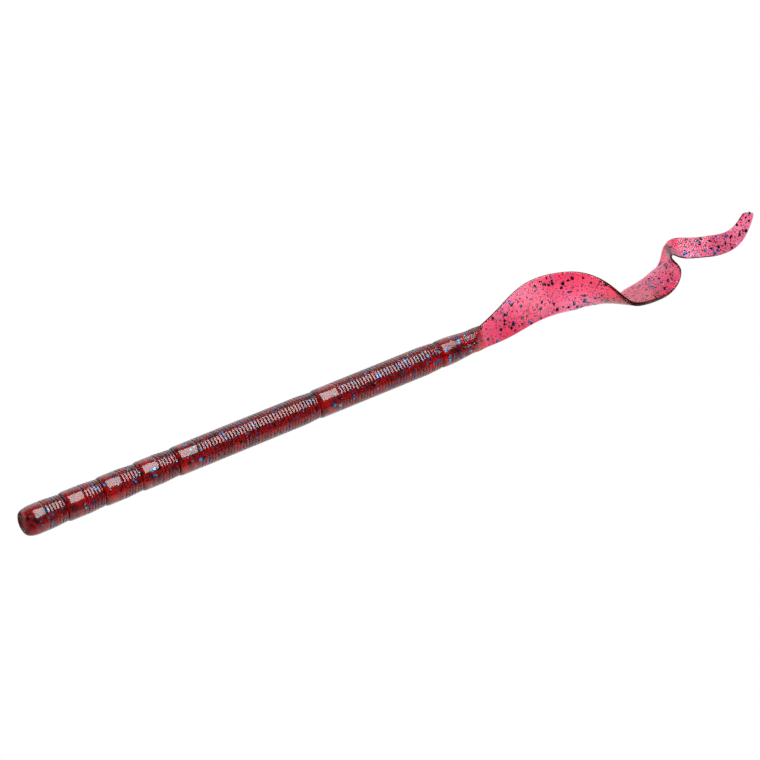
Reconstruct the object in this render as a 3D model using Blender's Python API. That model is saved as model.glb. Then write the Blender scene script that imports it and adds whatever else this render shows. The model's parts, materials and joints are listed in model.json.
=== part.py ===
"""A ribbon-tail soft plastic worm for fishing, laid out at rest on a flat surface.

The worm is one soft moulding that bends all along its length. Here it is a chain of short stiff
pieces. The body is cut at its moulded grooves and between its ribs, with a shallow ball and
socket at each cut. The ribbon tail is cut across, with a narrow gap at each cut.

Metres, +Z up. The origin is the centre of the nose's flat end, and +X runs along the body to
the tail. The body lies on the plane z = -BODY_RADIUS * cos(half a side of its polygon).
"""

import math

import bmesh
import bpy
import numpy as np
from mathutils import Vector

MM = 0.001

# Body: a round bar with moulded grooves across it.
BODY_RADIUS = 4.25 * MM
BODY_SIDES = 24
NOSE_LENGTH = 12.4 * MM
FRONT_SEGMENT_LENGTH = 11.8 * MM
FRONT_SEGMENTS = 3
MIDDLE_LENGTH = 46.8 * MM
MIDDLE_SEGMENTS = 4
REAR_LENGTH = 41.9 * MM
REAR_SEGMENTS = 4
COLLAR_LENGTH = 16.5 * MM

# Nose: a flat end with a rounded edge.
NOSE_FACE_RADIUS = 2.9 * MM
NOSE_ROUNDING_LENGTH = 2.2 * MM
NOSE_ROUNDING_STEPS = 4

# Grooves: neck radius, cap angle of the ball, and how far the groove reaches to each side.
RING_GROOVE = {"neck": 3.75 * MM, "cap": 55, "before": 0.5 * MM, "after": 0.5 * MM}
RIB_GROOVE = {"neck": 3.90 * MM, "cap": 55, "before": 0.5 * MM, "after": 0.5 * MM}
COLLAR_GROOVE = {"neck": 3.30 * MM, "cap": 65, "before": 0.4 * MM, "after": 0.9 * MM}
SOCKET_GAP = 0.35 * MM
LIP_STEP = 0.2 * MM
CAP_STEPS = 4

# Collar: distance from its groove, half height and half thickness. It flattens into the ribbon.
COLLAR_RINGS = [
    (0.9, 4.00, 4.00),
    (3.5, 4.05, 4.05),
    (8.0, 3.75, 3.75),
    (12.0, 3.35, 3.30),
    (14.2, 3.30, 2.50),
    (16.0, 3.60, 1.10),
]
COLLAR_TURN = math.atan2(0.2, 1.0)

# Ribbon tail: centre (mm), direction of its width, and width (mm), evenly spread along it.
RIBBON_STATIONS = [
    ((153.0, 0.0, 0.0), (0.1, -0.2, -1.0), 7.5),
    ((162.5, 1.0, 1.5), (0.3, -0.3, -0.9), 10.5),
    ((172.0, 1.5, 4.0), (0.2, -0.4, -0.9), 12.5),
    ((181.0, -0.5, 5.0), (-0.1, -0.3, -1.0), 12.5),
    ((188.5, -4.6, 4.3), (-0.35, 0.34, -0.87), 12.5),
    ((197.3, -7.7, -0.9), (0.12, 0.83, -0.55), 12.0),
    ((204.8, -6.5, -2.5), (-0.22, 0.97, -0.12), 11.0),
    ((214.2, -4.2, -3.6), (-0.44, 0.9, 0.04), 10.5),
    ((220.9, -1.0, -1.4), (-0.03, 0.98, -0.21), 10.0),
    ((222.2, 0.7, 3.2), (0.41, 0.85, -0.32), 9.0),
    ((226.4, -1.0, 3.5), (0.42, 0.86, 0.29), 7.8),
    ((235.2, -2.6, 1.7), (0.88, 0.45, 0.13), 6.8),
    ((246.1, -1.4, 0.2), (-0.52, 0.54, 0.66), 5.5),
    ((252.6, 0.3, 5.7), (-0.93, -0.02, 0.36), 4.5),
]
TIP_CUT_FROM = 0.93
RIBBON_SECTIONS = 8
RIBBON_RINGS = 9
RIBBON_THICKNESS = 1.05 * MM
TIP_THICKNESS = 0.75 * MM
RIBBON_EDGE_BEVEL = 0.2 * MM
RIBBON_GAP = 0.5 * MM
RIBBON_LENGTH_SAMPLES = 400
TANGENT_STEP = 0.002

# Points closer than this are one point. Faces that meet at more than this angle have a sharp edge.
MERGE_DISTANCE = 0.001 * MM
SHARP_ANGLE = math.radians(30)

BODY_COLOUR = (0.36, 0.010, 0.035, 1.0)
COLLAR_COLOUR = (0.52, 0.015, 0.045, 1.0)
RIBBON_COLOUR = (0.88, 0.085, 0.160, 1.0)


def soft_plastic(name, colour):
    """Glossy tinted soft plastic."""
    material = bpy.data.materials.new(name)
    material.use_nodes = True
    shader = material.node_tree.nodes["Principled BSDF"]
    shader.inputs["Base Color"].default_value = colour
    shader.inputs["Roughness"].default_value = 0.18
    shader.inputs["Metallic"].default_value = 0.0
    material.diffuse_color = colour
    return material


def add_piece(name, mesh_edit, pivot, parent, colour):
    """An object with its origin on its joint's axis, as a child of the piece in front of it."""
    bmesh.ops.recalc_face_normals(mesh_edit, faces=mesh_edit.faces)
    bmesh.ops.translate(mesh_edit, verts=mesh_edit.verts, vec=-pivot)
    mesh = bpy.data.meshes.new(name)
    mesh_edit.to_mesh(mesh)
    mesh_edit.free()
    mesh.materials.append(soft_plastic(name + "_plastic", colour))
    mesh.shade_smooth()
    mesh.set_sharp_from_angle(angle=SHARP_ANGLE)
    piece = bpy.data.objects.new(name, mesh)
    bpy.context.scene.collection.objects.link(piece)
    piece.parent = parent
    piece.location = pivot
    if parent:
        piece.location = pivot - parent.matrix_world.translation
    bpy.context.view_layer.update()
    return piece


def ball(seam, groove):
    """Centre (x) and radius of the ball of the joint whose groove is at x = seam."""
    cap = math.radians(groove["cap"])
    radius = groove["neck"] / math.sin(cap)
    return seam + radius * math.cos(cap), radius


def ball_profile(seam, groove):
    """Outline (x, r) of the ball that leads a piece, from the axis out to its neck."""
    centre, radius = ball(seam, groove)
    steps = np.linspace(0, math.radians(groove["cap"]), CAP_STEPS + 1)
    return [(centre - radius * math.cos(a), radius * math.sin(a)) for a in steps]


def socket_profile(seam, groove):
    """Outline (x, r) of the socket that ends a piece, from its lip in to the axis."""
    centre, radius = ball(seam, groove)
    radius += SOCKET_GAP
    lip = math.asin((groove["neck"] + LIP_STEP) / radius)
    steps = np.linspace(lip, 0, CAP_STEPS + 1)
    return [(centre - radius * math.cos(a), radius * math.sin(a)) for a in steps]


def nose_profile():
    """Outline (x, r) of the flat end and its rounded edge, from the axis out."""
    depth = BODY_RADIUS - NOSE_FACE_RADIUS
    steps = np.linspace(0, math.pi / 2, NOSE_ROUNDING_STEPS + 1)
    rounding = [
        (NOSE_ROUNDING_LENGTH * (1 - math.cos(a)), NOSE_FACE_RADIUS + depth * math.sin(a))
        for a in steps
    ]
    return [(0.0, 0.0)] + rounding


def turned(profile):
    """A closed solid of revolution about the X axis, with one side of its polygon at the bottom."""
    mesh_edit = bmesh.new()
    half_side = math.pi / BODY_SIDES
    verts = [
        mesh_edit.verts.new((x, r * math.sin(half_side), -r * math.cos(half_side)))
        for x, r in profile
    ]
    edges = [mesh_edit.edges.new(pair) for pair in zip(verts, verts[1:])]
    bmesh.ops.spin(
        mesh_edit,
        geom=verts + edges,
        cent=(0, 0, 0),
        axis=(1, 0, 0),
        angle=2 * math.pi,
        steps=BODY_SIDES,
        use_merge=True,
    )
    bmesh.ops.remove_doubles(mesh_edit, verts=mesh_edit.verts, dist=MERGE_DISTANCE)
    return mesh_edit


def body_pieces():
    """(name, front seam, its groove, rear seam, its groove) of each piece between nose and collar."""
    pieces = []
    x = NOSE_LENGTH
    groove = RING_GROOVE
    stretches = [(f"front_segment_{i + 1}", 1, FRONT_SEGMENT_LENGTH) for i in range(FRONT_SEGMENTS)]
    stretches.append(("middle_segment", MIDDLE_SEGMENTS, MIDDLE_LENGTH))
    stretches.append(("rear_segment", REAR_SEGMENTS, REAR_LENGTH))
    for name, count, length in stretches:
        for i in range(count):
            end = x + length / count
            last = i == count - 1
            if last and name == "rear_segment":
                next_groove = COLLAR_GROOVE
            elif last:
                next_groove = RING_GROOVE
            else:
                next_groove = RIB_GROOVE
            label = name if count == 1 else f"{name}_{i + 1}"
            pieces.append((label, x, groove, end, next_groove))
            x, groove = end, next_groove
    return pieces


def make_nose():
    """The rounded head end, with the first socket in its rear face."""
    outer = [(NOSE_LENGTH - RING_GROOVE["before"], BODY_RADIUS)]
    profile = nose_profile() + outer + socket_profile(NOSE_LENGTH, RING_GROOVE)
    return add_piece("nose", turned(profile), Vector(), None, BODY_COLOUR)


def make_body_piece(name, front, front_groove, rear, rear_groove, parent):
    """A length of the body: ball in front, socket behind."""
    outer = [(front + front_groove["after"], BODY_RADIUS), (rear - rear_groove["before"], BODY_RADIUS)]
    profile = ball_profile(front, front_groove) + outer + socket_profile(rear, rear_groove)
    pivot = Vector((ball(front, front_groove)[0], 0, 0))
    return add_piece(name, turned(profile), pivot, parent, BODY_COLOUR)


def loft(rings, tip=None):
    """A closed solid through rings of points, with flat ends, or a point at the front end."""
    mesh_edit = bmesh.new()
    loops = [[mesh_edit.verts.new(point) for point in ring] for ring in rings]
    for loop, following in zip(loops, loops[1:]):
        for i, vert in enumerate(loop):
            j = (i + 1) % len(loop)
            mesh_edit.faces.new((vert, loop[j], following[j], following[i]))
    if tip is None:
        mesh_edit.faces.new(loops[0])
    else:
        point = mesh_edit.verts.new(tip)
        for i, vert in enumerate(loops[0]):
            mesh_edit.faces.new((point, vert, loops[0][(i + 1) % len(loops[0])]))
    mesh_edit.faces.new(loops[-1])
    return mesh_edit


def make_collar(seam, parent):
    """The cone behind the deep groove, which flattens towards the ribbon."""
    rings = ball_profile(seam, COLLAR_GROOVE)
    tip_x = rings[0][0]
    sections = [(x, r, r) for x, r in rings[1:]]
    sections += [(seam + x * MM, height * MM, half * MM) for x, height, half in COLLAR_RINGS]
    wide = Vector((0, -math.sin(COLLAR_TURN), -math.cos(COLLAR_TURN)))
    thin = Vector((0, math.cos(COLLAR_TURN), -math.sin(COLLAR_TURN)))
    angles = [2 * math.pi * i / BODY_SIDES for i in range(BODY_SIDES)]
    loops = [
        [Vector((x, 0, 0)) + wide * height * math.cos(a) + thin * half * math.sin(a) for a in angles]
        for x, height, half in sections
    ]
    pivot = Vector((ball(seam, COLLAR_GROOVE)[0], 0, 0))
    return add_piece("collar", loft(loops, (tip_x, 0, 0)), pivot, parent, COLLAR_COLOUR)


def smooth_curve(values):
    """A natural cubic spline through evenly spaced values, as a function of 0 to 1."""
    values = np.array(values, float)
    last = len(values) - 1
    system = np.eye(last + 1)
    right = np.zeros_like(values)
    for i in range(1, last):
        system[i, i - 1 : i + 2] = (1, 4, 1)
        right[i] = 6 * (values[i - 1] - 2 * values[i] + values[i + 1])
    bends = np.linalg.solve(system, right)

    def at(t):
        i = min(int(t * last), last - 1)
        b = t * last - i
        a = 1 - b
        curved = (a**3 - a) * bends[i] + (b**3 - b) * bends[i + 1]
        return a * values[i] + b * values[i + 1] + curved / 6

    return at


RIBBON_CENTRE = smooth_curve([centre for centre, _, _ in RIBBON_STATIONS])
RIBBON_ACROSS = smooth_curve([across for _, across, _ in RIBBON_STATIONS])
RIBBON_WIDTH = smooth_curve([[width] for _, _, width in RIBBON_STATIONS])


def ribbon_frame(t):
    """Centre, width direction, face direction, width and thickness of the ribbon at t, 0 to 1.

    The width is square to the ribbon's run, except near the tip, which is cut off at a slant.
    """
    centre = Vector(RIBBON_CENTRE(t)) * MM
    before, after = max(t - TANGENT_STEP, 0), min(t + TANGENT_STEP, 1)
    along = Vector(RIBBON_CENTRE(after) - RIBBON_CENTRE(before)).normalized()
    across = Vector(RIBBON_ACROSS(t))
    square = min((1 - t) / (1 - TIP_CUT_FROM), 1)
    across = (across - along * across.dot(along) * square).normalized()
    width = float(RIBBON_WIDTH(t)[0]) * MM
    thickness = RIBBON_THICKNESS + (TIP_THICKNESS - RIBBON_THICKNESS) * t
    return centre, across, along.cross(across).normalized(), width, thickness


def ribbon_ring(t):
    """The ribbon's outline at t: a flat bar with bevelled edges."""
    centre, across, facing, width, thickness = ribbon_frame(t)
    wide, thin = width / 2, thickness / 2
    inner_wide, inner_thin = wide - RIBBON_EDGE_BEVEL, thin - RIBBON_EDGE_BEVEL
    corners = [
        (wide, -inner_thin),
        (wide, inner_thin),
        (inner_wide, thin),
        (-inner_wide, thin),
        (-wide, inner_thin),
        (-wide, -inner_thin),
        (-inner_wide, -thin),
        (inner_wide, -thin),
    ]
    return [centre + across * w + facing * h for w, h in corners]


def make_ribbon(parent):
    """The ribbon tail: sections of equal length, each hinged across its front cut."""
    spread = np.linspace(0, 1, RIBBON_LENGTH_SAMPLES + 1)
    samples = [Vector(RIBBON_CENTRE(t)) for t in spread]
    length = sum((b - a).length for a, b in zip(samples, samples[1:])) * MM
    half_gap = RIBBON_GAP / length / 2
    for i in range(RIBBON_SECTIONS):
        start, end = i / RIBBON_SECTIONS, (i + 1) / RIBBON_SECTIONS
        last = i == RIBBON_SECTIONS - 1
        first_ring = start + half_gap
        last_ring = end if last else end - half_gap
        rings = [ribbon_ring(t) for t in np.linspace(first_ring, last_ring, RIBBON_RINGS)]
        pivot = ribbon_frame(start)[0]
        parent = add_piece(f"tail_section_{i + 1}", loft(rings), pivot, parent, RIBBON_COLOUR)


def main():
    for old in list(bpy.data.objects):
        bpy.data.objects.remove(old, do_unlink=True)
    parent = make_nose()
    rear = NOSE_LENGTH
    for name, front, front_groove, rear, rear_groove in body_pieces():
        parent = make_body_piece(name, front, front_groove, rear, rear_groove, parent)
    make_ribbon(make_collar(rear, parent))


main()
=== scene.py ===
"""The looks of a ribbon-tail soft plastic worm, made around its CAD frame.

The worm is one clear soft moulding with glitter in it. Its skin is one continuous surface, cut
into a closed piece for each joint. A piece runs from the middle of one CAD part to the middle of
the next. The flakes lie in the plastic. Metres, +Z up: the nose's end is at the origin and +X
runs to the tail.
"""

import json
import math

import bpy
import numpy as np
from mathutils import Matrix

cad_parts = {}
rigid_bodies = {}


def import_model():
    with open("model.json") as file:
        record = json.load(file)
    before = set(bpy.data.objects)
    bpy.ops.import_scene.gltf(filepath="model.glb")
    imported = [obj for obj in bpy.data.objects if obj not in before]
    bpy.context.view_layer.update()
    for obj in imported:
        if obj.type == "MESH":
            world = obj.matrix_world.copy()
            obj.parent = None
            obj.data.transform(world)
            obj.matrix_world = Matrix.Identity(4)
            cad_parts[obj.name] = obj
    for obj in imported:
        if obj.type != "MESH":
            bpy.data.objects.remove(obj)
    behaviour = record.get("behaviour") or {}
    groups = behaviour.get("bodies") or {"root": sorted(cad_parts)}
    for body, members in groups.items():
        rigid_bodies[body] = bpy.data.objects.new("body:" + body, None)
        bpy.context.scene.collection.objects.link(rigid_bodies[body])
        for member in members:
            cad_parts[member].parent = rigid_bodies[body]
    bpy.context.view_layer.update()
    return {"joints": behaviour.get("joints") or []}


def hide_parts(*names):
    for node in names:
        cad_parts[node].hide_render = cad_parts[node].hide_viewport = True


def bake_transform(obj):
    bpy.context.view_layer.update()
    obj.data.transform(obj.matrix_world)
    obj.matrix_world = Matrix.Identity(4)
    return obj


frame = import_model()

MM = 0.001
FLAKE_SEED = 11

# The body's moulding: the length of each segment, its smooth band and its ribs.
BODY_RADIUS = 4.25 * MM
NOSE_LENGTH = 12.4 * MM
NOSE_SMOOTH = 6.3 * MM
NOSE_RIBS = 6
FRONT_SEGMENTS = 3
FRONT_LENGTH = 11.8 * MM
FRONT_SMOOTH = 6.0 * MM
FRONT_RIBS = 6
LONG_SMOOTH = 7.0 * MM
MIDDLE_LENGTH = 46.8 * MM
MIDDLE_RIBS = 39
MIDDLE_PARTS = 4
REAR_LENGTH = 41.9 * MM
REAR_RIBS = 34
REAR_PARTS = 4
COLLAR_START = NOSE_LENGTH + FRONT_SEGMENTS * FRONT_LENGTH + MIDDLE_LENGTH + REAR_LENGTH
RIB_DEPTH = 0.22 * MM
RIB_STEPS = (0.0, 0.05, 0.12, 0.22, 0.38, 0.62, 0.78, 0.88, 0.95)
RIB_POWER = 6.0
GROOVE_DEPTH = 0.45 * MM
GROOVE_HALF_WIDTH = 0.45 * MM
SHOULDER_DROP = 0.28 * MM
SHOULDER_RISE = 1.3 * MM
SHOULDER_FALL = 5.5 * MM
BAND_STEP = 0.45 * MM
SHOULDER_STEPS = (0.12, 0.25, 0.35, 0.45, 0.6, 0.8, 1.05, 1.35)

# The nose: a flat end with a rounded edge, a raised ring, a shallow dish and an off-centre pit.
NOSE_FACE_RADIUS = 2.9 * MM
NOSE_ROUNDING_LENGTH = 3.8 * MM
NOSE_ROUNDING_STEPS = 14
NOSE_FACE_STEPS = 30
DISH_RADIUS = 2.35 * MM
DISH_FLAT = 0.75
DISH_DEPTH = 0.28 * MM
RING_RADIUS = 2.5 * MM
RING_WIDTH = 0.2 * MM
RING_HEIGHT = 0.22 * MM
PIT_CENTRE = (-1.3 * MM, 0.0)
PIT_RADIUS = 0.8 * MM
PIT_DEPTH = 0.9 * MM

# The collar: distance from its groove, half height and half thickness, in mm.
COLLAR_LENGTH = 16.5 * MM
COLLAR_RINGS = [
    (0.0, 3.15, 3.15),
    (0.25, 3.20, 3.20),
    (0.5, 3.45, 3.45),
    (0.7, 3.75, 3.75),
    (0.95, 3.95, 3.95),
    (1.5, 4.02, 4.02),
    (3.5, 4.05, 4.05),
    (6.0, 3.92, 3.92),
    (8.0, 3.75, 3.75),
    (10.0, 3.56, 3.56),
    (11.8, 3.38, 3.36),
    (13.0, 3.28, 3.01),
    (14.2, 3.28, 2.21),
    (15.2, 3.40, 1.45),
    (16.0, 3.58, 0.93),
    (16.35, 3.68, 0.75),
]
COLLAR_SHORT_STEP = 0.5 * MM
COLLAR_STEPS = 4
COLLAR_TAPER = (11.8 * MM, 17.3 * MM)
COLLAR_EXTRA = 2.835 * MM
COLLAR_FLATTENS = (11.0 * MM, 16.4 * MM)
COLLAR_TURN = math.atan2(0.2, 1.0)

# The ribbon tail, as in the CAD: centre (mm), direction of its width, and width (mm).
RIBBON_STATIONS = [
    ((153.0, 0.0, 0.0), (0.1, -0.2, -1.0), 7.5),
    ((162.5, 1.0, 1.5), (0.3, -0.3, -0.9), 10.5),
    ((172.0, 1.5, 4.0), (0.2, -0.4, -0.9), 12.5),
    ((181.0, -0.5, 5.0), (-0.1, -0.3, -1.0), 12.5),
    ((188.5, -4.6, 4.3), (-0.35, 0.34, -0.87), 12.5),
    ((197.3, -7.7, -0.9), (0.12, 0.83, -0.55), 12.0),
    ((204.8, -6.5, -2.5), (-0.22, 0.97, -0.12), 11.0),
    ((214.2, -4.2, -3.6), (-0.44, 0.9, 0.04), 10.5),
    ((220.9, -1.0, -1.4), (-0.03, 0.98, -0.21), 10.0),
    ((222.2, 0.7, 3.2), (0.41, 0.85, -0.32), 9.0),
    ((226.4, -1.0, 3.5), (0.42, 0.86, 0.29), 7.8),
    ((235.2, -2.6, 1.7), (0.88, 0.45, 0.13), 6.8),
    ((246.1, -1.4, 0.2), (-0.52, 0.54, 0.66), 5.5),
    ((252.6, 0.3, 5.7), (-0.93, -0.02, 0.36), 4.5),
]
TIP_CUT_FROM = 0.93
TIP_CORNER = 0.8 * MM
RIBBON_PARTS = 8
RIBBON_THICKNESS = 1.05 * MM
TIP_THICKNESS = 0.75 * MM
RIBBON_CORNER = 0.4 * MM
MOST_CORNER = 0.9

# How much thinner the ribbon is at the edge that its width points to than in its middle, as a
# share of its thickness, at each station. Its other edge is thicker by as much.
RIBBON_WEDGE_STATIONS = [
    [0.0], [-0.3], [-0.1], [0.35], [0.38], [0.38], [0.38], [0.38], [0.2], [-0.38], [-0.38], [-0.1],
    [0.0], [0.0],
]
RIBBON_RINGS = 288
TIP_RINGS = 10
TANGENT_STEP = 0.002

# One ring of the skin has SIDES points: a corner of the ribbon takes CORNER_STEPS of a quarter.
SIDES = 64
QUARTER = SIDES // 4
CORNER_STEPS = 4
SEAM_GAP = 0.02 * MM
SHARP_ANGLE = math.radians(50)

# Where the widths of a skin's two ends are turned further apart than this, as a sine, its bend
# ends lie along the direction square to both of them, and elsewhere along its own chord.
LEAST_TURN = 0.3

# Flakes: how many in a cubic millimetre, and their sizes across corners, in mm, with each row as
# (share, from, to). The tail's go from the first number to the second along TAIL_FLAKES_TURN.
BODY_FLAKES = 0.75
COLLAR_FLAKES = 1.5
TAIL_FLAKES = (1.9, 2.9)
TAIL_FLAKES_TURN = (55 * MM, 80 * MM)
FLAKE_THICKNESS = 0.03 * MM
FLAKE_SIZES = [(0.62, 0.28, 0.45), (0.28, 0.45, 0.70), (0.10, 0.85, 1.25)]
TAIL_FLAKE_SIZES = [(0.77, 0.22, 0.40), (0.18, 0.40, 0.65), (0.05, 0.85, 1.25)]
SIX_SIDED_SHARE = 0.6
BLUE_SHARE = 0.6

# Where the flakes lie: the share just under the surface, how deep that is, and how far they
# lean out of the surface. In the body a flake with a radius over LEANING_RADIUS leans less.
BLUE_NEAR_SURFACE = 0.65
BLACK_NEAR_SURFACE = 0.1
SURFACE_DEPTHS = (0.03 * MM, 0.12 * MM)
FLAKE_LEAN = 0.3
DEEP_FLAKE_LEAN = 0.9
LEANING_RADIUS = 0.25 * MM
RIBBON_FLAKE_LEAN = 0.12
RIBBON_SIDE_DEPTH = 0.12 * MM
RIBBON_FACE_DEPTH = 0.05 * MM

# Absorption of the plastic, for each millimetre of path: red, green, blue.
ABSORPTION = (0.105, 2.15, 1.5)
COLLAR_ABSORPTION = (0.06, 1.7, 1.3)
PLASTIC_IOR = 1.5
COAT_ROUGHNESS = 0.04

# Each plastic: absorption, roughness, mirroring below its coat, coat, height of its tool marks.
PLASTICS = {
    "body_plastic": (ABSORPTION, 0.30, 0.4, 1.0, 0.0),
    "collar_plastic": (COLLAR_ABSORPTION, 0.30, 0.3, 0.7, 0.004 * MM),
    "tail_plastic": (ABSORPTION, 0.16, 1.0, 0.0, 0.025 * MM),
}

# Noise over the plastic and the flakes: how fine it is, in 1/m, and what it changes.
CLOUD_SCALE = 260
CLOUD_TONES = [(0.35, (0.93, 0.84, 0.86)), (0.6, (1.0, 1.0, 1.0))]
PATCH_SCALE = 420
PATCH_ROUGHNESS = (0.93, 1.15)
CREASE_SCALE = 2500
CREASE_ROUGHNESS = (0.7, 1.3)
NOISE_MIDDLE = (0.3, 0.7)

# The surface: its slow unevenness, and the mould's fine marks across the ribbon, in mm apart.
UNEVEN_SCALE = 330
UNEVENNESS = 0.03 * MM
TOOL_MARK_PITCH = 0.5
TOOL_MARK_WOBBLE = 0.6

# Tones of the flakes' film.
BLUE_TONES = [
    (0.0, (0.008, 0.06, 0.40)),
    (0.25, (0.010, 0.22, 0.75)),
    (0.6, (0.016, 0.55, 1.0)),
    (1.0, (0.04, 0.95, 1.0)),
]
BLACK_TONES = [(0.0, (0.008, 0.006, 0.03)), (1.0, (0.02, 0.02, 0.12))]

# Each kind of flake: its tones, how metallic it is, and its roughness.
FLAKE_FILMS = {
    "blue_flake": (BLUE_TONES, 1.0, 0.32),
    "black_flake": (BLACK_TONES, 0.6, 0.35),
}

# Light: a softbox overhead, a pale wall beyond the worm, and a dim room that is bright below.
SOFTBOX_HEIGHT = 0.7
SOFTBOX_SIDES = (0.13, 0.66)
SOFTBOX_NEAR = -0.62
SOFTBOX_FAR = 0.24
SOFTBOX_RADIANCE = 6.2
WALL_TURN = (-0.15, 0.45)
WALL_TOP = (0.5, 0.8)
WALL_RADIANCE = 1.0
ROOM_RADIANCE = 0.07
HORIZON = (-0.02, 0.0)

# A small card that lights only the tail.
CARD_CENTRE = (0.275, -0.222, 0.045)
CARD_SIZE = (0.07, 0.07)
CARD_RADIANCE = 5.0
CARD_TURN = math.atan2(0.436, 0.894)

# The floor: half its side, how far below the body it is, and its grey and glow. A mirroring
# surface sees it dimmer towards the camera (Y) and towards the nose (X).
FLOOR_REACH = 8.0
FLOOR_DROP = 0.01 * MM
FLOOR_GREY = (0.2, 0.2, 0.2, 1.0)
FLOOR_ROUGHNESS = 0.9
FLOOR_GLOW = 0.92
MIRRORED_Y = (-30 * MM, -6 * MM)
MIRRORED_Y_GLOW = (0.02, 0.75)
MIRRORED_X = (-4 * MM, 8 * MM)
MIRRORED_X_GLOW = (0.1, 1.0)
FLOOR_CLEARANCE = 9 * MM

# Light runs along inside the clear plastic, mirrored many times on its way.
LIGHT_BOUNCES = 24

# Camera: where it looks, from which side, how far off, and its lens.
CAMERA_TARGET = (116.6 * MM, -0.55 * MM, 0.0)
CAMERA_AZIMUTH = math.radians(-34.1)
CAMERA_ELEVATION = math.radians(37.0)
CAMERA_DISTANCE = 954.6 * MM
CAMERA_LENS = 157.7
SENSOR_WIDTH = 36.0
CAMERA_CLIP = (0.01, 50.0)

WHITE = (1.0, 1.0, 1.0, 1.0)


def smooth_step(t):
    """0 below 0, 1 above 1, and an even turn between."""
    t = np.clip(t, 0.0, 1.0)
    return t * t * (3 - 2 * t)


def smooth_curve(values):
    """A natural cubic spline through evenly spaced values, as a function of 0 to 1."""
    values = np.array(values, float)
    last = len(values) - 1
    system = np.eye(last + 1)
    right = np.zeros_like(values)
    for i in range(1, last):
        system[i, i - 1 : i + 2] = (1, 4, 1)
        right[i] = 6 * (values[i - 1] - 2 * values[i] + values[i + 1])
    bends = np.linalg.solve(system, right)

    def at(t):
        i = min(int(t * last), last - 1)
        b = t * last - i
        a = 1 - b
        curved = (a**3 - a) * bends[i] + (b**3 - b) * bends[i + 1]
        return a * values[i] + b * values[i + 1] + curved / 6

    return at


RIBBON_CENTRE = smooth_curve([centre for centre, _, _ in RIBBON_STATIONS])
RIBBON_ACROSS = smooth_curve([across for _, across, _ in RIBBON_STATIONS])
RIBBON_WIDTH = smooth_curve([[width] for _, _, width in RIBBON_STATIONS])
RIBBON_WEDGE = smooth_curve(RIBBON_WEDGE_STATIONS)


def unit(vector):
    return vector / np.linalg.norm(vector)


BODY_WIDE = np.array((0, -math.sin(COLLAR_TURN), -math.cos(COLLAR_TURN)))
BODY_THIN = np.array((0, math.cos(COLLAR_TURN), -math.sin(COLLAR_TURN)))


class Section:
    """A cut across the worm: its place along the worm, its frame and its half sizes.

    `square` is 0 for an ellipse and 1 for a bar. `wedge` is how much thinner its `wide` edge is.
    """

    def __init__(
        self, along, centre, wide, thin, half_width, half_thickness, square=0.0, wedge=0.0
    ):
        self.along = along
        self.centre = np.array(centre, float)
        self.wide = wide
        self.thin = thin
        self.half_width = half_width
        self.half_thickness = half_thickness
        self.square = square
        self.wedge = wedge

    def outline(self):
        """SIDES points (width, thickness), between an ellipse and a bar with round corners."""
        turn = np.arange(SIDES) * 2 * math.pi / SIDES
        ellipse = np.stack([self.half_width * np.cos(turn), self.half_thickness * np.sin(turn)], 1)
        if self.square == 0:
            return ellipse
        bar = bar_outline(self.half_width, self.half_thickness)
        return ellipse + (bar - ellipse) * self.square

    def points(self):
        outline = self.outline()
        wedge = 1 - self.wedge * outline[:, :1] / self.half_width
        return self.centre + outline[:, :1] * self.wide + outline[:, 1:] * wedge * self.thin


def bar_outline(half_width, half_thickness):
    """A flat bar with round corners, its points in step with an even turn round a circle."""
    corner = min(RIBBON_CORNER, half_thickness * MOST_CORNER)
    quarter = [(half_width, 0.0)]
    for a in np.linspace(0, math.pi / 2, CORNER_STEPS + 1):
        quarter.append(
            (
                half_width - corner + corner * math.cos(a),
                half_thickness - corner + corner * math.sin(a),
            )
        )
    flat = QUARTER - len(quarter) + 1
    for share in np.arange(1, flat + 1) / flat:
        quarter.append(((half_width - corner) * (1 - share), half_thickness))
    first = np.array(quarter[:QUARTER])
    second = np.array(quarter[1:])[::-1] * (-1, 1)
    half = np.concatenate([first, second])
    return np.concatenate([half, -half])


def segments():
    """(start, length, smooth length, ribs, parts) of each moulded segment of the body."""
    start = NOSE_LENGTH
    for _ in range(FRONT_SEGMENTS):
        yield start, FRONT_LENGTH, FRONT_SMOOTH, FRONT_RIBS, 1
        start += FRONT_LENGTH
    yield start, MIDDLE_LENGTH, LONG_SMOOTH, MIDDLE_RIBS, MIDDLE_PARTS
    start += MIDDLE_LENGTH
    yield start, REAR_LENGTH, LONG_SMOOTH, REAR_RIBS, REAR_PARTS


def shoulder(start, end, x):
    """How far the surface drops below the body's radius at the ends of a segment."""
    drop = GROOVE_DEPTH * (1 - smooth_step((end - x) / GROOVE_HALF_WIDTH))
    drop += SHOULDER_DROP * (1 - smooth_step((end - x) / SHOULDER_FALL))
    if start > 0:
        drop += GROOVE_DEPTH * (1 - smooth_step((x - start) / GROOVE_HALF_WIDTH))
        drop += SHOULDER_DROP * (1 - smooth_step((x - start) / SHOULDER_RISE))
    return drop


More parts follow.
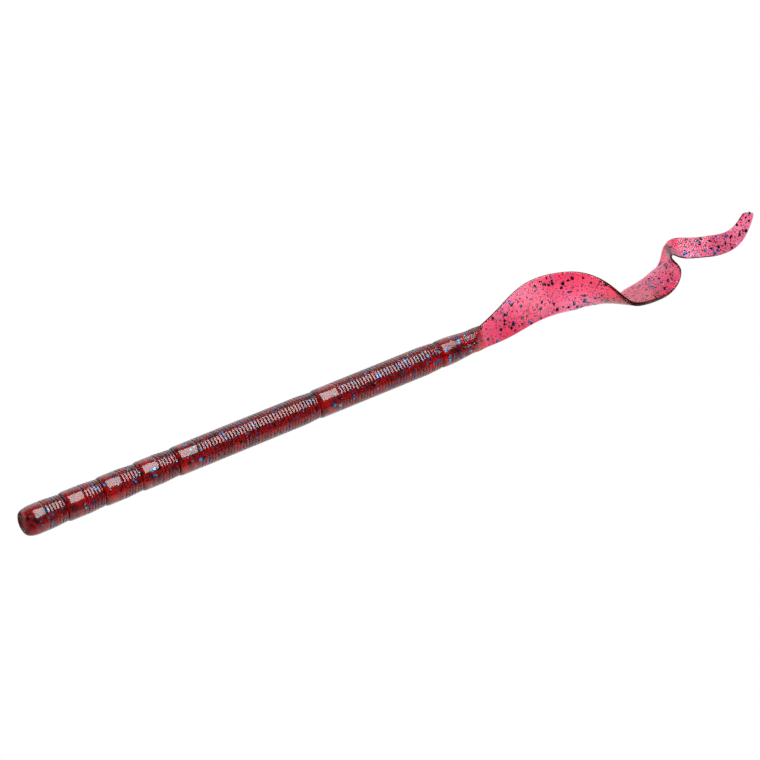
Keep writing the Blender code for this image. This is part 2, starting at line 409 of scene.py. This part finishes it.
def segment_outline(start, length, smooth, ribs):
    """(x, radius) along one segment: a smooth band, then ribs up to the next groove."""
    end = start + length
    pitch = (length - smooth) / ribs
    if start > 0:
        xs = [start + step * MM for step in SHOULDER_STEPS]
    else:
        xs = [NOSE_ROUNDING_LENGTH]
    count = math.ceil((start + smooth - xs[-1]) / BAND_STEP)
    xs += list(np.linspace(xs[-1], start + smooth, count + 1)[1:-1])
    profile = [(x, BODY_RADIUS - shoulder(start, end, x)) for x in xs]
    for rib in range(ribs):
        for u in RIB_STEPS:
            x = start + smooth + (rib + u) * pitch
            valley = RIB_DEPTH * abs(2 * u - 1) ** RIB_POWER
            profile.append((x, BODY_RADIUS - shoulder(start, end, x) - valley))
    profile.append((end, BODY_RADIUS - shoulder(start, end, end) - RIB_DEPTH))
    return profile


def body_outline():
    """(x, radius) of the whole ribbed body behind the nose's rounding."""
    profile = segment_outline(0.0, NOSE_LENGTH, NOSE_SMOOTH, NOSE_RIBS)
    for start, length, smooth, ribs, _ in segments():
        profile += segment_outline(start, length, smooth, ribs)
    return profile


def body_sections():
    """Round sections from the end of the nose's rounding to the collar's groove."""
    return [
        Section(x, (x, 0, 0), BODY_WIDE, BODY_THIN, radius, radius) for x, radius in body_outline()
    ]


def collar_sections():
    """Sections of the cone behind the last groove, which flattens towards the ribbon."""
    start = COLLAR_START
    stations = np.array(COLLAR_RINGS) * MM
    flat_from, flat_to = COLLAR_FLATTENS
    sections = []
    for before, after in zip(stations, stations[1:]):
        steps = COLLAR_STEPS if after[0] - before[0] > COLLAR_SHORT_STEP else 1
        for share in np.arange(1, steps + 1) / steps:
            x, height, half = before + (after - before) * share
            square = smooth_step((x - flat_from) / (flat_to - flat_from))
            sections.append(
                Section(
                    start + x, (start + x, 0, 0), BODY_WIDE, BODY_THIN, height, half, float(square)
                )
            )
    return sections


def ribbon_section(t, place, left):
    """The ribbon's section at t, 0 to 1: `place` from the ribbon's start, `left` to its end."""
    before, after = max(t - TANGENT_STEP, 0), min(t + TANGENT_STEP, 1)
    forward = unit(RIBBON_CENTRE(after) - RIBBON_CENTRE(before))
    across = RIBBON_ACROSS(t)
    square = min((1 - t) / (1 - TIP_CUT_FROM), 1)
    across = unit(across - forward * across.dot(forward) * square)
    facing = unit(np.cross(forward, across))
    thickness = RIBBON_THICKNESS + (TIP_THICKNESS - RIBBON_THICKNESS) * t
    half = thickness / 2 + collar_extra(COLLAR_LENGTH + place)
    width = float(RIBBON_WIDTH(t)[0]) * MM
    inside = TIP_CORNER - min(left, TIP_CORNER)
    width -= 2 * (TIP_CORNER - math.sqrt(TIP_CORNER**2 - inside**2))
    along = COLLAR_START + COLLAR_LENGTH + place
    wedge = float(RIBBON_WEDGE(t)[0])
    return Section(along, RIBBON_CENTRE(t) * MM, across, facing, width / 2, half, 1.0, wedge)


def collar_extra(x):
    """How much thicker than the ribbon half the cone still is at x behind its groove."""
    first, last = COLLAR_TAPER
    return float(COLLAR_EXTRA * (1 - smooth_step((x - first) / (last - first))))


def ribbon_sections():
    """Sections along the tail, with `along` going on from the collar by the ribbon's length."""
    spread = np.linspace(0, 1, RIBBON_RINGS + 1)
    spread = np.concatenate([spread[:-2], np.linspace(spread[-3], 1, TIP_RINGS + 1)[1:]])
    centres = np.array([RIBBON_CENTRE(t) for t in spread]) * MM
    steps = np.linalg.norm(np.diff(centres, axis=0), axis=1)
    places = np.concatenate([[0], np.cumsum(steps)])
    return [ribbon_section(t, place, places[-1] - place) for t, place in zip(spread, places)]


def nose_face_rings():
    """Rings of points over the nose's flat end, from near its centre out to its edge."""
    turn = np.arange(SIDES) * 2 * math.pi / SIDES
    directions = np.cos(turn)[:, None] * BODY_WIDE + np.sin(turn)[:, None] * BODY_THIN
    shares = np.arange(1, NOSE_FACE_STEPS + 1) / NOSE_FACE_STEPS
    return [nose_face(directions * share * NOSE_FACE_RADIUS) for share in shares]


def nose_sections():
    """Sections of the rounding between the nose's flat end and the body."""
    rise = BODY_RADIUS - NOSE_FACE_RADIUS
    sections = []
    for a in np.linspace(0, math.pi / 2, NOSE_ROUNDING_STEPS + 1)[1:-1]:
        x = NOSE_ROUNDING_LENGTH * (1 - math.cos(a))
        radius = NOSE_FACE_RADIUS + rise * math.sin(a)
        sections.append(Section(x, (x, 0, 0), BODY_WIDE, BODY_THIN, radius, radius))
    return sections


def nose_face(points):
    """The points of the nose's flat end, pushed into its dish, ring and pit."""
    points = points.copy()
    radius = np.linalg.norm(points[:, 1:], axis=1)
    outside = (radius - DISH_RADIUS * DISH_FLAT) / (DISH_RADIUS * (1 - DISH_FLAT))
    dish = DISH_DEPTH * (1 - smooth_step(outside))
    ring = RING_HEIGHT * np.exp(-(((radius - RING_RADIUS) / RING_WIDTH) ** 2))
    away = np.linalg.norm(points[:, 1:] - np.array(PIT_CENTRE), axis=1)
    pit = PIT_DEPTH * (1 - smooth_step(away / PIT_RADIUS))
    points[:, 0] = dish - ring + pit
    return points


def nearest_valley(x, valleys):
    return valleys[np.argmin(np.abs(valleys - x))]


def cut_places(ribbon):
    """Places along the worm where one piece of skin ends and the next begins, in order."""
    places = []
    for start, length, smooth, ribs, parts in segments():
        valleys = start + smooth + np.arange(ribs) * (length - smooth) / ribs
        for part in range(parts):
            places.append(nearest_valley(start + length * (part + 0.5) / parts, valleys))
    places.append(COLLAR_START + COLLAR_LENGTH / 2)
    per_part = RIBBON_RINGS // RIBBON_PARTS
    for part in range(RIBBON_PARTS - 1):
        places.append(ribbon[part * per_part + per_part // 2].along)
    return places


def make_mesh(name, points, faces, smooth=True):
    mesh = bpy.data.meshes.new(name)
    mesh.from_pydata(points.tolist(), [], faces)
    mesh.validate()
    piece = bpy.data.objects.new(name, mesh)
    bpy.context.scene.collection.objects.link(piece)
    if smooth:
        mesh.shade_smooth()
        mesh.set_sharp_from_angle(angle=SHARP_ANGLE)
    return piece


def loft(name, rings, front_point, alongs):
    """A closed skin through rings of points, fanned to a point at each end."""
    count = len(rings)
    points = np.concatenate([*rings, [front_point], [rings[-1].mean(0)]])
    front, back = count * SIDES, count * SIDES + 1
    faces = []
    for i in range(count - 1):
        for j in range(SIDES):
            k = (j + 1) % SIDES
            a, b = i * SIDES, (i + 1) * SIDES
            faces.append((a + j, a + k, b + k, b + j))
    for j in range(SIDES):
        k = (j + 1) % SIDES
        faces.append((front, k, j))
        faces.append((back, (count - 1) * SIDES + j, (count - 1) * SIDES + k))
    piece = make_mesh(name, points, faces)
    add_layout(piece.data, count, alongs)
    return piece


def add_layout(mesh, count, alongs):
    """A UV map in millimetres: along the worm, and round it by the point's number."""
    layer = mesh.uv_layers.new(name="layout")
    index = np.empty(len(mesh.loops), np.int32)
    mesh.loops.foreach_get("vertex_index", index)
    ring = np.minimum(index // SIDES, count - 1)
    place = np.array(alongs)[ring] / MM
    side = index % SIDES
    layer.data.foreach_set("uv", np.stack([place, side], 1).astype(np.float32).ravel())


def principled(name):
    material = bpy.data.materials.new(name)
    material.use_nodes = True
    return material, material.node_tree.nodes, material.node_tree.links


def noise(nodes, links, scale, detail, coordinates):
    """A noise texture, from 0 to 1."""
    texture = nodes.new("ShaderNodeTexNoise")
    texture.inputs["Scale"].default_value = scale
    texture.inputs["Detail"].default_value = detail
    links.new(coordinates, texture.inputs["Vector"])
    return texture.outputs["Fac"]


def map_range(nodes, links, value, source, result, soft=True):
    """The value mapped from one range to another, with soft ends or evenly."""
    mapped = nodes.new("ShaderNodeMapRange")
    mapped.interpolation_type = "SMOOTHSTEP" if soft else "LINEAR"
    mapped.inputs["From Min"].default_value, mapped.inputs["From Max"].default_value = source
    mapped.inputs["To Min"].default_value, mapped.inputs["To Max"].default_value = result
    links.new(value, mapped.inputs["Value"])
    return mapped.outputs["Result"]


def around(nodes, links, value, middle, spread):
    """Noise turned into a value that varies around a middle one by the shares of `spread`."""
    low, high = spread
    return map_range(nodes, links, value, NOISE_MIDDLE, (middle * low, middle * high), soft=False)


def colour_ramp(nodes, links, value, tones):
    """The value's colour out of `tones`, given as (position, colour)."""
    ramp = nodes.new("ShaderNodeValToRGB")
    elements = ramp.color_ramp.elements
    for element, (position, colour) in zip(elements, (tones[0], tones[-1])):
        element.position = position
        element.color = (*colour, 1.0)
    for position, colour in tones[1:-1]:
        elements.new(position).color = (*colour, 1.0)
    links.new(value, ramp.inputs["Fac"])
    return ramp.outputs["Color"]


def combine(nodes, links, operation, first, second):
    """The result of a Math node on a socket and a socket or a number."""
    node = nodes.new("ShaderNodeMath")
    node.operation = operation
    links.new(first, node.inputs[0])
    if isinstance(second, float):
        node.inputs[1].default_value = second
    else:
        links.new(second, node.inputs[1])
    return node.outputs["Value"]


def mix_shaders(nodes, links, share, first, second):
    """The first shader, and as much of the second as `share` says."""
    mix = nodes.new("ShaderNodeMixShader")
    links.new(share, mix.inputs["Fac"])
    links.new(first, mix.inputs[1])
    links.new(second, mix.inputs[2])
    return mix.outputs["Shader"]


def bump(nodes, links, height, distance, normal=None):
    """A normal bent by `height`, on top of another one."""
    node = nodes.new("ShaderNodeBump")
    node.inputs["Distance"].default_value = distance
    links.new(height, node.inputs["Height"])
    if normal:
        links.new(normal, node.inputs["Normal"])
    return node.outputs["Normal"]


def tool_marks(nodes, links):
    """Waves along the worm, from 0 to 1."""
    layout = nodes.new("ShaderNodeUVMap")
    layout.uv_map = "layout"
    marks = nodes.new("ShaderNodeTexWave")
    marks.wave_type = "BANDS"
    marks.bands_direction = "X"
    marks.inputs["Scale"].default_value = math.pi / 10 / TOOL_MARK_PITCH
    marks.inputs["Distortion"].default_value = TOOL_MARK_WOBBLE
    links.new(layout.outputs["UV"], marks.inputs["Vector"])
    return marks.outputs["Fac"]


def plastic(name, absorption, roughness, inner, coat, grain):
    """Clear tinted soft plastic: glossy, red where it is thick, and a little uneven.

    `inner` is how much it mirrors below its coat. `grain` is the height of the mould's fine
    tool marks, which run across the worm.
    """
    material, nodes, links = principled(name)
    shader = nodes["Principled BSDF"]
    shader.inputs["IOR"].default_value = PLASTIC_IOR
    shader.inputs["Transmission Weight"].default_value = 1.0
    shader.inputs["Specular Tint"].default_value = (inner, inner, inner, 1.0)
    shader.inputs["Coat Weight"].default_value = coat
    shader.inputs["Coat Roughness"].default_value = COAT_ROUGHNESS
    shader.inputs["Coat IOR"].default_value = PLASTIC_IOR
    place = nodes.new("ShaderNodeTexCoord").outputs["Object"]

    cloud = noise(nodes, links, CLOUD_SCALE, 2, place)
    links.new(colour_ramp(nodes, links, cloud, CLOUD_TONES), shader.inputs["Base Color"])

    patches = noise(nodes, links, PATCH_SCALE, 3, place)
    rough = around(nodes, links, patches, roughness, PATCH_ROUGHNESS)
    links.new(rough, shader.inputs["Roughness"])

    uneven = noise(nodes, links, UNEVEN_SCALE, 2, place)
    normal = bump(nodes, links, uneven, UNEVENNESS)
    normal = bump(nodes, links, tool_marks(nodes, links), grain, normal)
    links.new(normal, shader.inputs["Normal"])
    links.new(normal, shader.inputs["Coat Normal"])

    volume = nodes.new("ShaderNodeVolumeAbsorption")
    strongest = max(absorption)
    clear = [1 - value / strongest for value in absorption]
    volume.inputs["Color"].default_value = (*clear, 1.0)
    volume.inputs["Density"].default_value = strongest / MM
    links.new(volume.outputs["Volume"], nodes["Material Output"].inputs["Volume"])
    return material


def flake_material(name, tones, metallic, roughness):
    """Thin film flakes, each with its own tone out of `tones`, given as (position, colour)."""
    material, nodes, links = principled(name)
    shader = nodes["Principled BSDF"]
    shader.inputs["Metallic"].default_value = metallic
    island = nodes.new("ShaderNodeNewGeometry").outputs["Random Per Island"]
    links.new(colour_ramp(nodes, links, island, tones), shader.inputs["Base Color"])
    place = nodes.new("ShaderNodeTexCoord").outputs["Object"]
    creases = noise(nodes, links, CREASE_SCALE, 2, place)
    rough = around(nodes, links, creases, roughness, CREASE_ROUGHNESS)
    links.new(rough, shader.inputs["Roughness"])
    return material


def make_skins(rings, alongs, cuts, materials):
    """One closed skin for each joint, with its ends at the cuts.

    Each comes as (skin, joint, ends of its bend, where it starts and where it stops along).
    """
    edges = [-math.inf, *cuts, math.inf]
    skins = []
    for joint, low, high in zip(frame["joints"], edges, edges[1:]):
        chosen = [i for i, along in enumerate(alongs) if low <= along <= high]
        part = [rings[i] for i in chosen]
        places = [alongs[i] for i in chosen]
        if low < 0:
            front = nose_face(np.zeros((1, 3)))[0]
        else:
            part[0] = part[0] + unit(part[1].mean(0) - part[0].mean(0)) * SEAM_GAP / 2
            front = part[0].mean(0)
        if high < math.inf:
            part[-1] = part[-1] + unit(part[-2].mean(0) - part[-1].mean(0)) * SEAM_GAP / 2
        skin = loft("skin_" + joint["child"], part, front, places)
        skin.data.materials.append(materials[slot_of(joint["child"])])
        bend = nose_bend(joint, part[-1]) if low < 0 else bend_range(part[0], part[-1])
        skins.append((skin, joint, bend, low, high))
    return skins


def slot_of(node):
    if node == "collar":
        return "collar_plastic"
    return "tail_plastic" if node.startswith("tail") else "body_plastic"


def bend_range(first_ring, last_ring):
    """Two points along a skin's bend direction: its first ring is before them, its last after."""
    chord = unit(last_ring.mean(0) - first_ring.mean(0))
    spans = [ring[0] - ring[SIDES // 2] for ring in (first_ring, last_ring)]
    direction = np.cross(unit(spans[0]), unit(spans[1]))
    if np.linalg.norm(direction) > LEAST_TURN:
        direction = unit(direction) * np.sign(direction.dot(chord))
    else:
        direction = chord
    start = (first_ring @ direction).max()
    end = (last_ring @ direction).min()
    middle = (first_ring.mean(0) + last_ring.mean(0)) / 2
    centre = middle.dot(direction)
    return middle + direction * (start - centre), middle + direction * (end - centre)


def nose_bend(joint, last_ring):
    """For the first skin, which holds the whole nose: its last ring's centre and that point
    mirrored through its joint.
    """
    end = last_ring.mean(0)
    pivot = np.array(joint["pos_m"])
    return pivot - (end - pivot), end


def attach(piece, joint, bend, slot):
    start, end = bend
    tuple(start)
    tuple(end)
    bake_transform(piece)


# ---------------------------------------------------------------- flakes


def pick_size(random, table):
    shares = np.array([share for share, _, _ in table])
    row = random.choice(len(table), p=shares / shares.sum())
    _, low, high = table[row]
    return random.uniform(low, high) * MM / 2


def flake_points(centre, normal, radius, sides, spin):
    """Top and bottom corners of a thin plate."""
    helper = np.array((1.0, 0, 0)) if abs(normal[0]) < 0.9 else np.array((0, 1.0, 0))
    first = unit(np.cross(normal, helper))
    second = np.cross(normal, first)
    turn = spin + np.arange(sides) * 2 * math.pi / sides
    rim = np.cos(turn)[:, None] * first + np.sin(turn)[:, None] * second
    lift = normal * FLAKE_THICKNESS / 2
    return np.concatenate([centre + rim * radius + lift, centre + rim * radius - lift])


def flake_faces(first, sides):
    top = tuple(range(first, first + sides))
    bottom = tuple(range(first + 2 * sides - 1, first + sides - 1, -1))
    walls = []
    for i in range(sides):
        j = (i + 1) % sides
        walls.append((first + i, first + sides + i, first + sides + j, first + j))
    return [top, bottom, *walls]


class Flakes:
    """The plates of one colour in one skin."""

    def __init__(self):
        self.points = []
        self.faces = []
        self.count = 0

    def add(self, centre, normal, radius, sides, spin):
        self.points.append(flake_points(centre, normal, radius, sides, spin))
        self.faces += flake_faces(self.count, sides)
        self.count += 2 * sides


def thinnest_radius(sections):
    """A function: the smallest half size of the worm within a reach of a place along it."""
    alongs = np.array([section.along for section in sections])
    halves = np.array([min(section.half_width, section.half_thickness) for section in sections])

    def at(along, reach):
        places = np.linspace(along - reach, along + reach, 7)
        return np.interp(places, alongs, halves).min()

    return at


def flake_density(section, tail):
    """How many flakes lie in a cubic millimetre: more in the collar, and more towards the tip."""
    if not tail:
        return COLLAR_FLAKES if section.along > COLLAR_START else BODY_FLAKES
    if section.along < COLLAR_START + COLLAR_LENGTH:
        thinness = min(RIBBON_THICKNESS / 2 / section.half_thickness, 1)
        return TAIL_FLAKES[0] * math.sqrt(thinness)
    first, last = TAIL_FLAKES_TURN
    place = section.along - COLLAR_START - COLLAR_LENGTH
    share = smooth_step((place - first) / (last - first))
    return TAIL_FLAKES[0] + (TAIL_FLAKES[1] - TAIL_FLAKES[0]) * share


def scatter(random, sections, low, high, thinnest):
    """Flakes in the plastic between two places along the worm, as {colour: Flakes}."""
    found = {"blue": Flakes(), "black": Flakes()}
    inside = [s for s in sections if low <= s.along <= high]
    for before, after in zip(inside, inside[1:]):
        area = math.pi * before.half_width * before.half_thickness
        tail = before.square > 0.5
        if tail:
            area = 4 * before.half_width * before.half_thickness
        density = flake_density(before, tail)
        expected = area * (after.along - before.along) / MM**3 * density
        for _ in range(random.poisson(expected)):
            share = random.random()
            centre = before.centre + (after.centre - before.centre) * share
            radius = pick_size(random, TAIL_FLAKE_SIZES if tail else FLAKE_SIZES)
            sides = 6 if random.random() < SIX_SIDED_SHARE else 4
            colour = "blue" if random.random() < BLUE_SHARE else "black"
            if tail:
                spot, normal = place_in_bar(random, before, radius)
            else:
                near = BLUE_NEAR_SURFACE if colour == "blue" else BLACK_NEAR_SURFACE
                near = random.random() < near
                spot, normal = place_in_round(random, before, radius, near, thinnest)
            if spot is None or not clear_of_nose(centre + spot, radius):
                continue
            found[colour].add(centre + spot, normal, radius, sides, random.uniform(0, math.pi))
    return found


def clear_of_nose(centre, radius):
    """Whether a flake lies behind the nose's dish and pit."""
    depth = DISH_DEPTH
    if np.linalg.norm(centre[1:] - np.array(PIT_CENTRE)) < PIT_RADIUS + radius:
        depth += PIT_DEPTH
    return centre[0] > depth + radius + SURFACE_DEPTHS[0]


def place_in_round(random, section, radius, near, thinnest):
    """A spot in a round section: just under the surface and nearly along it, or anywhere."""
    turn = random.uniform(0, 2 * math.pi)
    out = math.cos(turn) * section.wide + math.sin(turn) * section.thin
    lean = FLAKE_LEAN * min(1.0, LEANING_RADIUS / radius) if near else DEEP_FLAKE_LEAN
    normal = unit(out + random.normal(0, lean, 3))
    lean = math.sqrt(max(0.0, 1 - normal.dot(out) ** 2))
    outer = thinnest(section.along, radius)
    limit = outer - SURFACE_DEPTHS[0] - radius * lean - radius * radius / 2 / outer
    if limit <= 0:
        return None, None
    if near:
        reach = limit - random.uniform(0, SURFACE_DEPTHS[1] - SURFACE_DEPTHS[0])
    else:
        reach = limit * math.sqrt(random.random())
    return out * reach, normal


def place_in_bar(random, section, radius):
    """A spot in the ribbon, with the flake nearly flat in it."""
    normal = unit(section.thin + random.normal(0, RIBBON_FLAKE_LEAN, 3))
    lean = math.sqrt(max(0.0, 1 - normal.dot(section.thin) ** 2))
    wide = section.half_width - RIBBON_SIDE_DEPTH - radius
    across = random.uniform(-1, 1) * wide
    wedge = 1 - (section.wedge * across + abs(section.wedge) * radius) / section.half_width
    deep = section.half_thickness * wedge - RIBBON_FACE_DEPTH - radius * lean
    height = random.uniform(-1, 1) * deep
    if deep <= 0 or wide <= 0:
        return None, None
    return section.wide * across + section.thin * height, normal


def make_flakes(skins, sections, materials):
    random = np.random.default_rng(FLAKE_SEED)
    thinnest = thinnest_radius(sections)
    for _, joint, bend, low, high in skins:
        for colour, flakes in scatter(random, sections, low, high, thinnest).items():
            name = f"{colour}_flakes_{joint['child']}"
            piece = make_mesh(name, np.concatenate(flakes.points), flakes.faces, smooth=False)
            piece.data.materials.append(materials[colour + "_flake"])
            attach(piece, joint, bend, colour + "_flake")


# ---------------------------------------------------------------- stage


def make_camera():
    flat = math.cos(CAMERA_ELEVATION)
    back = np.array(
        (
            math.sin(CAMERA_AZIMUTH) * flat,
            -math.cos(CAMERA_AZIMUTH) * flat,
            math.sin(CAMERA_ELEVATION),
        )
    )
    data = bpy.data.cameras.new("camera")
    data.lens = CAMERA_LENS
    data.sensor_width = SENSOR_WIDTH
    data.clip_start, data.clip_end = CAMERA_CLIP
    camera = bpy.data.objects.new("camera", data)
    camera.location = np.array(CAMERA_TARGET) + back * CAMERA_DISTANCE
    camera.rotation_euler = (math.pi / 2 - CAMERA_ELEVATION, 0.0, CAMERA_AZIMUTH)
    bpy.context.scene.collection.objects.link(camera)
    bpy.context.scene.camera = camera


def area_light(name, centre, size, radiance, rotation):
    """A rectangular light of even brightness, unseen by the camera itself."""
    data = bpy.data.lights.new(name, "AREA")
    data.shape = "RECTANGLE"
    data.size, data.size_y = size
    data.energy = radiance * math.pi * size[0] * size[1]
    light = bpy.data.objects.new(name, data)
    light.location = centre
    light.rotation_euler = rotation
    light.visible_camera = False
    bpy.context.scene.collection.objects.link(light)
    return light


def make_lights():
    left, right = SOFTBOX_SIDES
    near, far = SOFTBOX_NEAR, SOFTBOX_FAR
    centre = ((left + right) / 2, (near + far) / 2, SOFTBOX_HEIGHT)
    area_light("softbox", centre, (right - left, far - near), SOFTBOX_RADIANCE, (0, 0, 0))
    facing = (math.pi / 2, 0, CARD_TURN)
    card = area_light("card", CARD_CENTRE, CARD_SIZE, CARD_RADIANCE, facing)
    lit = bpy.data.collections.new("lit_by_card")
    for piece in bpy.context.scene.objects:
        if "tail_section" in piece.name:
            lit.objects.link(piece)
    card.light_linking.receiver_collection = lit


def make_world():
    """A pale wall behind the worm that fades upwards, and a dim room; the camera sees white."""
    world = bpy.data.worlds.new("studio")
    world.use_nodes = True
    nodes, links = world.node_tree.nodes, world.node_tree.links
    axes = nodes.new("ShaderNodeSeparateXYZ")
    links.new(nodes.new("ShaderNodeTexCoord").outputs["Generated"], axes.inputs["Vector"])
    behind = map_range(nodes, links, axes.outputs["Y"], WALL_TURN, (0.0, 1.0))
    low = map_range(nodes, links, axes.outputs["Z"], WALL_TOP, (1.0, 0.0))
    below = map_range(nodes, links, axes.outputs["Z"], HORIZON, (1.0, 0.0))
    wall = combine(nodes, links, "MULTIPLY", behind, low)
    bright = combine(nodes, links, "MAXIMUM", wall, below)
    radiance = (ROOM_RADIANCE, WALL_RADIANCE)
    strength = map_range(nodes, links, bright, (0.0, 1.0), radiance, soft=False)
    room = nodes["Background"]
    room.inputs["Color"].default_value = WHITE
    links.new(strength, room.inputs["Strength"])
    shown = nodes.new("ShaderNodeBackground")
    shown.inputs["Color"].default_value = WHITE
    seen = nodes.new("ShaderNodeLightPath").outputs["Is Camera Ray"]
    backgrounds = (room.outputs["Background"], shown.outputs["Background"])
    mixed = mix_shaders(nodes, links, seen, *backgrounds)
    links.new(mixed, nodes["World Output"].inputs["Surface"])
    bpy.context.scene.world = world


def floor_material():
    """Glowing white paper, dimmer in mirroring plastic, and clear from below.

    It is also clear for light that has come through plastic just above it, so that it leaves no
    bright line in a worm that is bent through its plane.
    """
    material, nodes, links = principled("floor_white")
    shader = nodes["Principled BSDF"]
    shader.inputs["Base Color"].default_value = FLOOR_GREY
    shader.inputs["Roughness"].default_value = FLOOR_ROUGHNESS
    shader.inputs["Specular IOR Level"].default_value = 0.0
    shader.inputs["Emission Color"].default_value = WHITE
    shader.inputs["Emission Strength"].default_value = FLOOR_GLOW
    axes = nodes.new("ShaderNodeSeparateXYZ")
    links.new(nodes.new("ShaderNodeTexCoord").outputs["Object"], axes.inputs["Vector"])
    near = map_range(nodes, links, axes.outputs["Y"], MIRRORED_Y, MIRRORED_Y_GLOW)
    side = map_range(nodes, links, axes.outputs["X"], MIRRORED_X, MIRRORED_X_GLOW)
    mirrored = nodes.new("ShaderNodeEmission")
    links.new(combine(nodes, links, "MULTIPLY", near, side), mirrored.inputs["Strength"])
    path = nodes.new("ShaderNodeLightPath").outputs
    paper = (shader.outputs["BSDF"], mirrored.outputs["Emission"])
    paper = mix_shaders(nodes, links, path["Is Reflection Ray"], *paper)
    close = combine(nodes, links, "LESS_THAN", path["Ray Length"], FLOOR_CLEARANCE)
    inside = combine(nodes, links, "MULTIPLY", close, path["Is Transmission Ray"])
    back = nodes.new("ShaderNodeNewGeometry").outputs["Backfacing"]
    unseen = combine(nodes, links, "MAXIMUM", inside, back)
    clear = nodes.new("ShaderNodeBsdfTransparent").outputs["BSDF"]
    surface = mix_shaders(nodes, links, unseen, paper, clear)
    links.new(surface, nodes["Material Output"].inputs["Surface"])
    return material


def make_floor():
    z = -BODY_RADIUS - FLOOR_DROP
    corners = ((-1, -1), (1, -1), (1, 1), (-1, 1))
    points = np.array([(x * FLOOR_REACH, y * FLOOR_REACH, z) for x, y in corners])
    floor = make_mesh("floor", points, [(0, 1, 2, 3)], smooth=False)
    floor.data.materials.append(floor_material())
    floor.visible_camera = False


def main():
    body = nose_sections() + body_sections()
    collar = collar_sections()
    ribbon = ribbon_sections()
    sections = body + collar + ribbon
    face = nose_face_rings()
    rings = face + [section.points() for section in sections]
    alongs = [0.0] * len(face) + [section.along for section in sections]
    cuts = cut_places(ribbon)
    cuts = [min(alongs, key=lambda s, c=cut: abs(s - c)) for cut in cuts]
    materials = {name: plastic(name, *values) for name, values in PLASTICS.items()}
    for name, values in FLAKE_FILMS.items():
        materials[name] = flake_material(name, *values)
    skins = make_skins(rings, alongs, cuts, materials)
    for skin, joint, bend, low, _ in skins:
        attach(skin, joint, bend, slot_of(joint["child"]))
        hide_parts(joint["child"])
        if low < 0:
            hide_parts(joint["parent"])
    make_flakes(skins, sections, materials)
    make_camera()
    make_lights()
    make_world()
    make_floor()
    bpy.context.scene.view_settings.view_transform = "Standard"
    paths = bpy.context.scene.cycles
    paths.max_bounces = paths.glossy_bounces = paths.transmission_bounces = LIGHT_BOUNCES


main()
